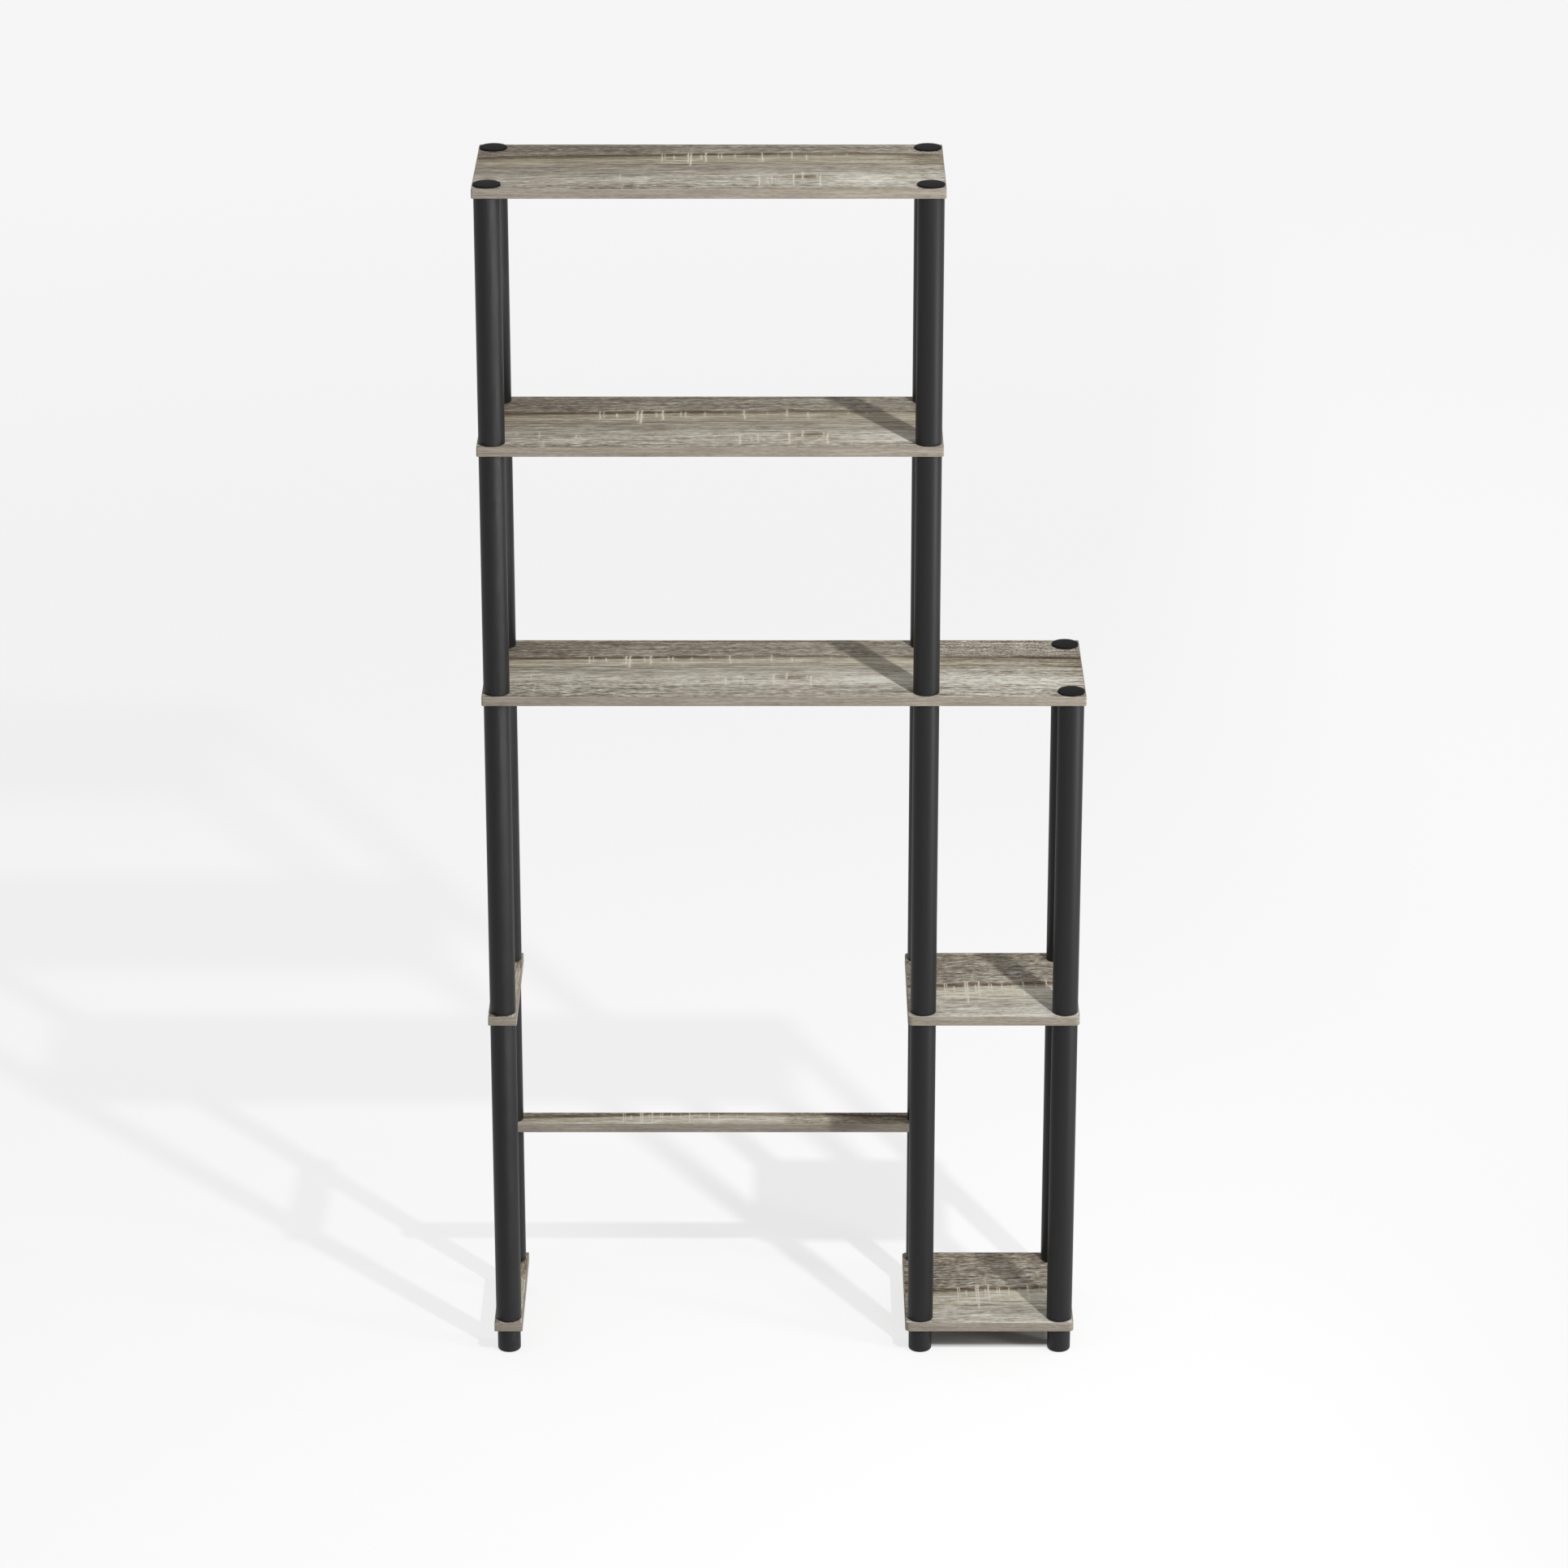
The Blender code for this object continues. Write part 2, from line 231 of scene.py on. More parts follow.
# Flecks: they are stronger towards the front and at the right end, and weaker in a calm band
FORE, FORE_GAIN, END_GAIN = (60.0, 90.0), 0.8, 0.9
CALM, CALM_SHARE = (9.0, 40.0, 8.0), 0.5
SPECKLE_GAIN = 1.3  # speckles take the flecks' place behind the line at the right end
FLECK_FINE, FLECK_ROUGH = 0.17, 0.19
SHORT_FINE, SHORT_ROUGH = 0.15, 0.12
DASH_LEAN, DASH_TURN = 1.5, 0.1  # dashes lie at a slant to the grain
DASH_SHOWS, DASH_TONE = (0.05, 0.36), -0.26
PORE_SHOWS, PORE_TONE, PORE_ROUGH = (0.14, 0.42), 0.05, 0.04
FIBRE_SHOWS, FIBRE_TONE, FIBRE_BEHIND = (0.18, 0.45), 0.04, 0.07

# Coarse grain at the front, on the left and what is added at the right end, and along the back
COARSE, COARSE_LEFT, COARSE_END, COARSE_TONE = (80.0, 112.0), 0.6, 0.8, 0.22
BACK_TONE = 0.30

# The dark line: how thick it is, and how much thicker at the left and the right
LINE_THICK, LINE_WANDER = 2.0, 2.0
LEFT_PART, LEFT_THICK = (330.0, 40.0), 4.2
RIGHT_PART, RIGHT_THICK = (680.0, 760.0), 2.0
LINE_FADES = (4.0, -1.0)  # at its front side, from its thickness on
LINE_BACK = (-3.0, -0.6)  # at its back side
LINE_TONE, LINE_GRAIN, LINE_RIGHT_TONE = -0.15, 0.10, -0.11
END_BAND, END_BAND_TONE = (6.0, 34.0, 6.0), -0.11
LINED_BAND, LINED_TONE = (9.0, 58.0, 10.0), 0.18
THIN_LINES = ((24.0, 1.4, 0.07), (35.0, 1.3, -0.12))  # place, reach and tone of two lines before it
THIN_SHOWS = (-0.35, 0.2)

# Past the widest shelf, at the stretcher's right end, dark lines and a darkening that is partly print and
# partly painted shade of the side shelf's shadow; pale places (middle and reach along and across the
# grain, strength), a brown one
PAST_BAND, PAST_LEAN, PAST_GRAIN, PAST_PRINT_AND_PAINTED_SHADE_TONE = (830.0, 1010.0, 90.0), 4.0, 0.35, -0.15
PALE_PLACES = ((520.0, 62.0, 92.0, 15.0, 1.0), (690.0, 95.0, 86.0, 19.0, 0.25))
PALE_TONE, PALE_GRAIN = 0.13, 0.16
BROWN_ALONG, BROWN_ACROSS, BROWN_TONE = (408.0, 26.0), (80.0, 7.0), -0.24

# Pale saw ticks: place along the grain, reach across it, half width, all in millimetres, and strength
TICKS = (
    (137, -4, 26, 1.8, 0.80),
    (142, -3, 20, 1.5, 0.60),
    (159, 4, 17, 2.0, 0.85),
    (186, -4, 29, 2.0, 0.95),
    (191, -4, 40, 2.2, 1.15),
    (211, 2, 18, 2.8, 0.60),
    (219, -4, 28, 2.2, 1.05),
    (243, -1, 17, 2.2, 0.60),
    (249, 0, 19, 1.8, 0.70),
    (274, 0, 16, 2.4, 0.50),
    (300, 0, 15, 2.2, 0.32),
    (325, -4, 28, 1.9, 0.95),
    (355, 0, 14, 2.2, 0.32),
    (380, -6, 19, 2.4, 0.70),
    (407, 4, 24, 2.2, 0.70),
    (460, 2, 15, 2.0, 0.32),
    (483, 0, 14, 2.2, 0.36),
    (320, 77, 112, 2.0, 0.90),
    (335, 84, 104, 2.8, 0.50),
    (343, 77, 104, 1.9, 0.65),
    (350, 89, 102, 1.8, 0.55),
    (383, 72, 109, 2.1, 0.95),
    (400, 65, 87, 2.4, 1.00),
    (427, 72, 89, 2.6, 0.55),
    (432, 74, 112, 2.2, 0.95),
    (62, 67, 90, 1.7, 0.55),
    (68, 99, 130, 1.6, 0.50),
    (109, 77, 87, 2.0, 0.85),
)
TICK_TONE, TICK_MOST = 0.82, 0.95  # the tone that they tend to, and how far at most
TICK_BEND = 2.4
TICK_CORE = 0.3  # share of the half width that shows fully
TICK_LEVEL, TICK_BREAK = 0.85, 0.9  # a tick's line, and how much it is broken
HAZE_LEVEL, HAZE_CLOUD = 0.14, 0.7  # the haze round it
HAZE_REACH = (6.5, 2.0)  # the haze thickens between these distances from a tick
HEAD_SOFT, TAIL_SOFT = 3.0, 6.0

# Finish of the print: tan share (before the line, brown place, back and clouds), roughness and relief
WARM_BAND, WARM_SHOWS = (-1.0, 32.0, 7.0), (-0.1, 0.4)
WARM_SHARES = (0.6, 0.8, 0.4, 0.6)
PRINT_ROUGHNESS, PRINT_ROUGHENED = 0.62, (0.06, -0.08)  # by flecks and pores
PRINT_RELIEF = (0.5, 0.4, -0.8)  # how high flecks, fibres and pores stand, as shares of the depth
PRINT_DEPTH = 0.00006
PRINT_SPECULAR = 0.06

# Finish of the boards' edges: streaks, grain and clouds, and lighter arrises (from, to, how much lighter)
EDGE_MARKS = ("streak", "grain", "cloud")
EDGE_TONE, EDGE_TONES = 0.52, (0.13, 0.12, 0.05)
EDGE_LIGHTER_ARRISES = ((2.0, 0.6, 0.035), (12.6, 13.6, 0.02))
EDGE_TAN = 0.05
EDGE_ROUGHNESS, EDGE_ROUGHENED = 0.55, 0.05
EDGE_RELIEF = (0.5, 0.5)
EDGE_DEPTH = 0.00004
EDGE_SPECULAR = 0.10


def linear(hexcode):
    """Linear colour of a display colour written as six hex digits."""
    parts = [int(hexcode[i : i + 2], 16) / 255 for i in (0, 2, 4)]
    return [part / 12.92 if part <= 0.04045 else ((part + 0.055) / 1.055) ** 2.4 for part in parts]


class Num:
    """A number at each point of a surface. Arithmetic on it adds Math nodes."""

    def __init__(self, graph, socket):
        self.graph = graph
        self.socket = socket

    def __add__(self, other):
        return self.graph.math("ADD", self, other)

    __radd__ = __add__

    def __sub__(self, other):
        return self.graph.math("SUBTRACT", self, other)

    def __rsub__(self, other):
        return self.graph.math("SUBTRACT", other, self)

    def __mul__(self, other):
        return self.graph.math("MULTIPLY", self, other)

    __rmul__ = __mul__

    def __truediv__(self, other):
        return self.graph.math("DIVIDE", self, other)


class Graph:
    """The node tree of a material or of the world, with short names for the nodes used here."""

    MIX_INPUTS = (0, 6, 7)  # a Mix node's factor and its two colours
    MIX_OUTPUT = 2

    def __init__(self, owner):
        owner.use_nodes = True
        self.owner = owner
        self.tree = owner.node_tree

    def node(self, kind, **settings):
        """A new node with the given settings."""
        made = self.tree.nodes.new("ShaderNode" + kind)
        for name, value in settings.items():
            setattr(made, name, value)
        return made

    def put(self, value, socket):
        """Set a socket, or link it to a number."""
        if isinstance(value, Num):
            self.tree.links.new(value.socket, socket)
        else:
            socket.default_value = value

    def math(self, operation, *values):
        """One Math node."""
        made = self.node("Math", operation=operation)
        for value, socket in zip(values, made.inputs):
            self.put(value, socket)
        return Num(self, made.outputs[0])

    def vector(self, *numbers):
        """A vector of three numbers."""
        made = self.node("CombineXYZ")
        for number, socket in zip(numbers, made.inputs):
            self.put(number, socket)
        return Num(self, made.outputs[0])

    def parts(self, vector):
        """The three numbers of a vector."""
        made = self.node("SeparateXYZ")
        self.tree.links.new(vector, made.inputs["Vector"])
        return [Num(self, socket) for socket in made.outputs]

    def noise(self, place, detail, roughness):
        """Noise from -1 to 1, about 0."""
        made = self.node("TexNoise", noise_dimensions="3D")
        self.put(place, made.inputs["Vector"])
        made.inputs["Scale"].default_value = 1.0
        made.inputs["Detail"].default_value = detail
        made.inputs["Roughness"].default_value = roughness
        return Num(self, made.outputs["Fac"]) * 2.0 - 1.0

    def grain(self, along, across, length, width, detail, roughness, seed):
        """Noise drawn out along the grain, with marks of about the given length and width."""
        return self.noise(self.vector(along / length, across / width, seed), detail, roughness)

    def step(self, value, low, high):
        """0 below low, 1 above high, smooth between. With low above high it falls instead."""
        made = self.node("MapRange", interpolation_type="SMOOTHSTEP")
        for number, name in ((value, "Value"), (low, "From Min"), (high, "From Max")):
            self.put(number, made.inputs[name])
        return Num(self, made.outputs["Result"])

    def band(self, value, low, high, soft):
        """1 between low and high, falling to 0 over soft on both sides."""
        return self.step(value, low - soft, low) * self.step(value, high + soft, high)

    def bell(self, value, middle, reach):
        """A soft hump of height 1."""
        off = (value - middle) / reach
        return self.math("EXPONENT", off * off * -1.0)

    def curve(self, value, points):
        """A number that runs through (place, level) points."""
        first, last = points[0][0], points[-1][0]
        made = self.node("ValToRGB")
        fill_ramp(made.color_ramp, [((at - first) / (last - first), (level,) * 3) for at, level in points])
        self.put((value - first) / (last - first), made.inputs["Fac"])
        return Num(self, made.outputs["Color"])

    def colour(self, tone, stops):
        """The colour of a tone."""
        made = self.node("ValToRGB")
        fill_ramp(made.color_ramp, [(at, linear(code)) for at, code in stops])
        self.put(tone, made.inputs["Fac"])
        return Num(self, made.outputs["Color"])

    def tinted(self, level, tint):
        """A colour from a grey level and a tint."""
        made = self.node("CombineColor")
        for share, socket in zip(tint, made.inputs):
            self.put(level * share, socket)
        return Num(self, made.outputs[0])

    def mix(self, amount, one, other):
        """A mix of two colours."""
        made = self.node("Mix", data_type="RGBA")
        for value, number in zip((amount, one, other), self.MIX_INPUTS):
            self.put(value, made.inputs[number])
        return Num(self, made.outputs[self.MIX_OUTPUT])

    def shader(self, kind, colour):
        """A shader of one colour."""
        made = self.node(kind)
        self.put(colour, made.inputs["Color"])
        return made

    def mix_shaders(self, amount, one, other):
        """A mix of two shaders."""
        made = self.node("MixShader")
        self.put(amount, made.inputs[0])
        for shader, socket in zip((one, other), made.inputs[1:]):
            self.tree.links.new(shader.outputs[0], socket)
        return made

    def finish(self, colour, roughness, height, depth, specular):
        """Join the colour, roughness and relief to the material's shader."""
        shader = self.tree.nodes["Principled BSDF"]
        relief = self.node("Bump")
        relief.inputs["Strength"].default_value = 1.0
        relief.inputs["Distance"].default_value = depth
        self.put(height, relief.inputs["Height"])
        self.put(colour, shader.inputs["Base Color"])
        self.put(roughness, shader.inputs["Roughness"])
        self.put(Num(self, relief.outputs["Normal"]), shader.inputs["Normal"])
        shader.inputs["Specular IOR Level"].default_value = specular
        return self.owner


def fill_ramp(ramp, stops):
    """Set a colour ramp's stops."""
    while len(ramp.elements) < len(stops):
        ramp.elements.new(1.0)
    for element, (at, colour) in zip(ramp.elements, stops):
        element.position = at
        element.color = (*colour, 1.0)


def weighed(numbers, shares):
    """The sum of numbers, each times its share."""
    return sum(number * share for number, share in zip(numbers, shares))


def sheet_place(g, layer):
    """Millimetres along and across the grain, on the printed sheet or on the board itself."""
    along, across, _ = g.parts(g.node("UVMap", uv_map=layer).outputs["UV"])
    return along * MILLIMETRES, across * MILLIMETRES


class Sheet:
    """Places on the printed sheet, and its parts, at each point of a board's face.

    p runs along the sheet's grain and w across it, forward from the dark line. x and flow run along and
    across the grain on the board itself, where the marks aren't stretched with the sheet.
    """

    def __init__(self, g):
        self.g = g
        self.p, q = sheet_place(g, "print")
        self.x, self.y = sheet_place(g, "grain")
        far = (self.p - LINE_MIDDLE) / LINE_REACH
        drift = g.grain(self.p, q, *MARKS["drift"]) * LINE_DRIFT
        self.w = q - far * far * LINE_BOW + LINE_SHIFT + drift
        wave = g.grain(self.x, self.y, *MARKS["wave"]) * GRAIN_WAVE
        self.flow = self.y + self.w - q + wave
        self.edge = self.w + wave
        self.front = g.step(self.w, *FRONT)
        self.behind = g.step(self.w, *BEHIND)
        self.back = g.step(self.w, *BACK)
        self.end = g.step(self.p, *RIGHT_END)
        self.corner = g.bell(self.p, *CORNER_ALONG) * g.step(self.w, *CORNER_ACROSS)
        self.rough = g.math("MAXIMUM", self.behind, self.corner)
        self.lift, self.crisp = [self.board_number(name) for name in BOARD_NUMBERS]

    def board_number(self, name):
        """A number that is kept on the board."""
        return Num(self.g, self.g.node("Attribute", attribute_name=name).outputs["Fac"])

    def mark(self, name):
        """Noise of one kind of mark, along the board's grain."""
        return self.g.grain(self.x, self.flow, *MARKS[name])


def broad_tone(g, s):
    """Broad bands, long streaks and fine lines along the grain, with each board's painted light and shade,
    and lighter towards the right end, partly print and partly painted light.
    """
    # painted light and shade: each board's tone is raised or lowered for the light that falls on it, more
    # at the front
    tone = g.curve(s.w, ZONES) + s.lift * (PAINTED_LIGHT_BEHIND + PAINTED_LIGHT_FRONT * s.front)
    # lighter towards the right end: partly print, partly painted light of the key lamp on the right
    tone += g.step(s.p, *RIGHT_PRINT_AND_PAINTED_LIGHT) * RIGHT_PRINT_AND_PAINTED_LIGHT_TONE
    tone += g.step(s.p, *LEFT_SHADE) * (1.0 - s.front) * LEFT_SHADE_TONE
    for seed, (length, width, strength) in enumerate(STREAKS):
        tone += g.grain(s.x, s.flow, length, width, *STREAK_NOISE, seed) * strength
    return tone


def fleck_tone(g, s, flecks):
    """Flecks, strong behind the line and in the front left corner, which has dark dashes too."""
    fine = (1.0 + FORE_GAIN * g.step(s.w, *FORE) + END_GAIN * s.end * s.front) * s.crisp
    rough = s.rough * s.crisp
    calm = 1.0 - CALM_SHARE * g.band(s.w, *CALM)
    tone = flecks * (FLECK_FINE * fine + FLECK_ROUGH * rough)
    tone += s.mark("short") * (SHORT_FINE * fine + SHORT_ROUGH * rough) * calm
    dashes = g.grain(s.x + s.y * DASH_LEAN, s.flow - s.x * DASH_TURN, *MARKS["dash"])
    tone += s.corner * g.step(dashes, *DASH_SHOWS) * DASH_TONE
    return tone


def coarse_tone(g, s):
    """Coarse grain at the front and along the back."""
    fore = g.step(s.w, *COARSE) * (COARSE_LEFT + COARSE_END * s.end)
    return fore * s.mark("fore") * COARSE_TONE + s.back * s.mark("back") * BACK_TONE


def line_tone(g, s):
    """The dark line, thickest at the left and darkest at the right, and fine lines before it."""
    wander = g.grain(s.p, s.p, *MARKS["wander"])
    right = g.step(s.p, *RIGHT_PART)
    thick = LINE_THICK + LEFT_THICK * g.step(s.p, *LEFT_PART) + RIGHT_THICK * right + wander * LINE_WANDER
    line = g.step(s.w, *[thick + fade for fade in LINE_FADES]) * g.step(s.edge, *LINE_BACK)
    tone = line * (s.mark("in line") * LINE_GRAIN + LINE_TONE + right * LINE_RIGHT_TONE)
    tone += s.end * g.band(s.w, *END_BAND) * END_BAND_TONE
    tone += g.band(s.w, *LINED_BAND) * s.mark("fine line") * LINED_TONE
    thin = sum(g.bell(s.edge, place, reach) * strength for place, reach, strength in THIN_LINES)
    return tone + thin * g.step(wander, *THIN_SHOWS)


def past_print_and_painted_shade(g, s):
    """Past the widest shelf, as the stretcher shows it, the sheet is strongly lined and darker: partly
    print, partly painted shade where the side shelf's shadow falls.
    """
    lines = g.grain(s.x + s.y * PAST_LEAN, s.flow, *MARKS["past"])
    # painted shade: the darkening stands partly for the side shelf's shadow on the stretcher's right end
    return g.band(s.p, *PAST_BAND) * (lines * PAST_GRAIN + PAST_PRINT_AND_PAINTED_SHADE_TONE)


def pale_tone(g, s):
    """Whitish places before the line."""
    pale = sum(
        g.bell(s.p, along, length) * g.bell(s.w, across, width) * strength
        for along, length, across, width, strength in PALE_PLACES
    )
    return pale * (PALE_TONE + s.mark("pale") * PALE_GRAIN)


def saw_ticks(g, s):
    """Pale saw marks across the grain, each a broken line in a faint haze."""
    bent = s.p + g.grain(s.w, s.p, *MARKS["tick bend"]) * TICK_BEND
    broken = TICK_LEVEL + g.grain(s.w, s.p, *MARKS["tick break"]) * TICK_BREAK
    cloud = HAZE_LEVEL + g.grain(s.p, s.w, *MARKS["tick haze"]) * HAZE_CLOUD
    marks = 0.0
    for place, head, tail, width, strength in TICKS:
        off = g.math("ABSOLUTE", bent - place)
        line = g.step(off, width, width * TICK_CORE) * broken
        haze = g.step(off, *HAZE_REACH) * cloud
        starts = g.step(s.w, head - HEAD_SOFT, head + HEAD_SOFT)
        stops = g.step(s.w, tail + TAIL_SOFT, tail - TAIL_SOFT)
        tick = g.math("MAXIMUM", line, haze) * (starts * stops) * strength
        marks = g.math("MAXIMUM", marks, tick)
    return g.math("MINIMUM", marks * s.crisp, TICK_MOST)


def print_colour(g, s, tone, brown):
    """The print's colour: grey, and in places tan."""
    clouds = g.step(s.mark("warm"), *WARM_SHOWS)
    warm = weighed((g.band(s.w, *WARM_BAND), brown, s.back, clouds), WARM_SHARES)
    return g.mix(warm, g.colour(tone, PRINT_COLOURS), g.colour(tone, TAN_COLOURS))


def oak_print():
    """Weathered oak printed on the boards' faces, with saw ticks, flecks and a dark line."""
    g = Graph(bpy.data.materials.new("oak_print"))
    s = Sheet(g)
    fleck = s.mark("fleck")
    flecks = fleck + (s.mark("speckle") * SPECKLE_GAIN - fleck) * (s.end * s.behind)
    pores = g.step(s.mark("pore"), *PORE_SHOWS)
    fibres = g.step(s.mark("fibre"), *FIBRE_SHOWS)
    brown = g.bell(s.p, *BROWN_ALONG) * g.bell(s.w, *BROWN_ACROSS)
    tone = broad_tone(g, s) + fleck_tone(g, s, flecks)
    tone += fibres * (FIBRE_TONE + FIBRE_BEHIND * s.behind) - pores * (PORE_TONE + PORE_ROUGH * s.rough)
    tone += coarse_tone(g, s)
    tone += line_tone(g, s)
    tone += past_print_and_painted_shade(g, s)
    tone += pale_tone(g, s)
    tone += brown * BROWN_TONE
    tone += saw_ticks(g, s) * (TICK_TONE - tone)
    colour = print_colour(g, s, tone, brown)
    roughness = PRINT_ROUGHNESS + weighed((flecks, pores), PRINT_ROUGHENED)
    height = weighed((fleck, fibres, pores), PRINT_RELIEF)
    return g.finish(colour, roughness, height, PRINT_DEPTH, PRINT_SPECULAR)


def edge_band():
    """Plain taupe band on the boards' edges, with fine grain and lighter arrises."""
    g = Graph(bpy.data.materials.new("edge_band"))
    along, up = sheet_place(g, "print")
    streak, fine, cloud = [g.grain(along, up, *MARKS["edge " + kind]) for kind in EDGE_MARKS]
    lighter_arrises = sum(g.step(up, low, high) * lighter for low, high, lighter in EDGE_LIGHTER_ARRISES)
    tone = EDGE_TONE + weighed((streak, fine, cloud), EDGE_TONES) + lighter_arrises
    colour = g.mix(EDGE_TAN, g.colour(tone, PRINT_COLOURS), g.colour(tone, TAN_COLOURS))
    roughness = EDGE_ROUGHNESS + fine * EDGE_ROUGHENED
    height = weighed((streak, fine), EDGE_RELIEF)
    return g.finish(colour, roughness, height, EDGE_DEPTH, EDGE_SPECULAR)


def metre_noise(g, place, scales, detail, roughness):
    """Noise with its own number of marks in a metre along x, y and z."""
    spot = g.vector(*[part * scale for part, scale in zip(place, scales)])
    return g.noise(spot, detail, roughness)


def black_plastic(name, level, roughness, draw, specular):
    """Satin black plastic, with a fine moulded grain and, on drawn tubes, streaks up the tube."""
    g = Graph(bpy.data.materials.new(name))
    place = g.parts(g.node("TexCoord").outputs["Object"])
    streak, grain, cloud = [metre_noise(g, place, *numbers) for numbers in PLASTIC_MARKS]
    marks = (streak * draw, grain, cloud)
    colour = g.tinted(level * (1.0 + weighed(marks, PLASTIC_SHADE)), PLASTIC_TINT)
    gloss = roughness + weighed(marks, PLASTIC_GLOSS)
    return g.finish(colour, gloss, weighed(marks, PLASTIC_RELIEF), PLASTIC_DEPTH, specular)


def add_piece(name, bm, materials, node):
    """Turn a bmesh into a piece that rides with the frame and stands for a node."""
    mesh = bpy.data.meshes.new(name)
    bmesh.ops.recalc_face_normals(bm, faces=bm.faces)
    if bm.calc_volume(signed=True) < 0:
        bmesh.ops.reverse_faces(bm, faces=bm.faces)
    bm.to_mesh(mesh)
    bm.free()
    for material in materials:
        mesh.materials.append(material)
    mesh.shade_smooth()
    mesh.set_sharp_from_angle(angle=SHARP_ANGLE)
    piece = bpy.data.objects.new(name, mesh)
    bpy.context.scene.collection.objects.link(piece)
    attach(piece, "root")
    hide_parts(node)
    return piece


def quarter(centre, radius, start, steps):
    """Points of a quarter circle, anticlockwise from a start given in quarter turns."""
    points = []
    for step in range(steps + 1):
        angle = (start + step / steps) * math.pi / 2
        points.append((centre[0] + radius * math.cos(angle), centre[1] + radius * math.sin(angle)))
    return points


def outline(low, high, radius):
    """A rectangle in plan with round corners."""
    points = []
    corners = (
        (high[0] - radius, high[1] - radius),
        (low[0] + radius, high[1] - radius),
        (low[0] + radius, low[1] + radius),
        (high[0] - radius, low[1] + radius),
    )
    for turn, centre in enumerate(corners):
        points += quarter(centre, radius, turn, CORNER_STEPS)
    return points


def circle(bm, centre, radius, height, sides):
    """A level ring of vertices."""
    ring = []
    for i in range(sides):
        angle = 2 * math.pi * i / sides
        x = centre[0] + radius * math.cos(angle)
        y = centre[1] + radius * math.sin(angle)
        ring.append(bm.verts.new((x, y, height)))
    return ring


def next_to(ring):
    """Each vertex of a closed ring with the one after it."""
    return zip(ring, ring[1:] + ring[:1])


def loop_edges(bm, ring):
    """The edges round a closed ring of vertices, made where they are missing."""
    return [bm.edges.get(pair) or bm.edges.new(pair) for pair in next_to(ring)]


def bridge(bm, below, above):
    """A band of faces between two rings."""
    sides = zip(next_to(below), next_to(above))
    return [bm.faces.new((one, two, upper_two, upper_one)) for (one, two), (upper_one, upper_two) in sides]


def board_section(thickness):
    """How far in and how high each ring of a board's edge lies, from its underside to its face."""
    lower = [(ARRIS - x, ARRIS + y) for x, y in quarter((0, 0), ARRIS, FROM_BELOW, ARRIS_STEPS)]
    upper = [(ARRIS - x, thickness - ARRIS + y) for x, y in quarter((0, 0), ARRIS, FROM_SIDE, ARRIS_STEPS)]
    inner = ARRIS + ARRIS_SUPPORT
    return [(inner, 0.0), *lower, *upper, (inner, thickness)]


def board_ring(bm, low, high, corner, inset, height):
    """One ring of vertices round a board."""
    inner_low = (low.x + inset, low.y + inset)
    inner_high = (high.x - inset, high.y - inset)
    ring = outline(inner_low, inner_high, max(corner - inset, LEAST_CORNER))
    return [bm.verts.new((x, y, low.z + height)) for x, y in ring]


def add_edge(bm, rings, section, uv):
    """The edge of a board, with the distance along it and up it, in metres."""
    outer = rings[len(rings) // 2]  # lies on the board's full outline
    runs = [0.0]
    for one, other in next_to(outer):
        runs.append(runs[-1] + (other.co - one.co).length)
    climbs = [0.0]
    for one, other in zip(section, section[1:]):
        climbs.append(climbs[-1] + math.dist(one, other))
    for level, (below, above) in enumerate(zip(rings, rings[1:])):
        for i, face in enumerate(bridge(bm, below, above)):
            face.material_index = BANDED
            corners = ((i, level), (i + 1, level), (i + 1, level + 1), (i, level + 1))
            for loop, (run, climb) in zip(face.loops, corners):
                loop[uv].uv = (runs[run], climbs[climb])


def fill_face(bm, ring, posts, height):
    """A level face inside a ring, round the stud holes. Gives its triangles and the holes' rings."""
    edges = loop_edges(bm, ring)
    holes = []
    for post in posts:
        holes.append(circle(bm, post, STUD_HOLE_RADIUS, height, HOLE_SIDES))
        edges += loop_edges(bm, holes[-1])
    filled = bmesh.ops.triangle_fill(bm, edges=edges, use_beauty=True)
    return [part for part in filled["geom"] if isinstance(part, bmesh.types.BMFace)], holes


def add_board(node, posts, materials):
    """A board with a printed face and underside, a banded edge and a hole for each stud."""
    low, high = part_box(node)
    section = board_section(high.z - low.z)
    here = [post for post in posts if low.x < post[0] < high.x and low.y < post[1] < high.y]
    bm = bmesh.new()
    uv = bm.loops.layers.uv.new("print")
    grain = bm.loops.layers.uv.new("grain")
    rings = [board_ring(bm, low, high, corner_of(node), inset, height) for inset, height in section]
    add_edge(bm, rings, section, uv)
    ends = []
    for ring, height in ((rings[0], low.z), (rings[-1], high.z)):
        faces, holes = fill_face(bm, ring, here, height)
        ends.append(holes)
        for face in faces:
            face.material_index = PRINTED
            print_on(face, uv, grain, node, low, high, height)
    for below, above in zip(*ends):
        for face in bridge(bm, below, above):
            face.material_index = BANDED
    piece = add_piece(node + "_finished", bm, materials, node)
    for name, value in zip(BOARD_NUMBERS, PRINTS[node][-len(BOARD_NUMBERS) :]):
        layer = piece.data.attributes.new(name, "FLOAT", "POINT")
        layer.data.foreach_set("value", [value] * len(piece.data.vertices))


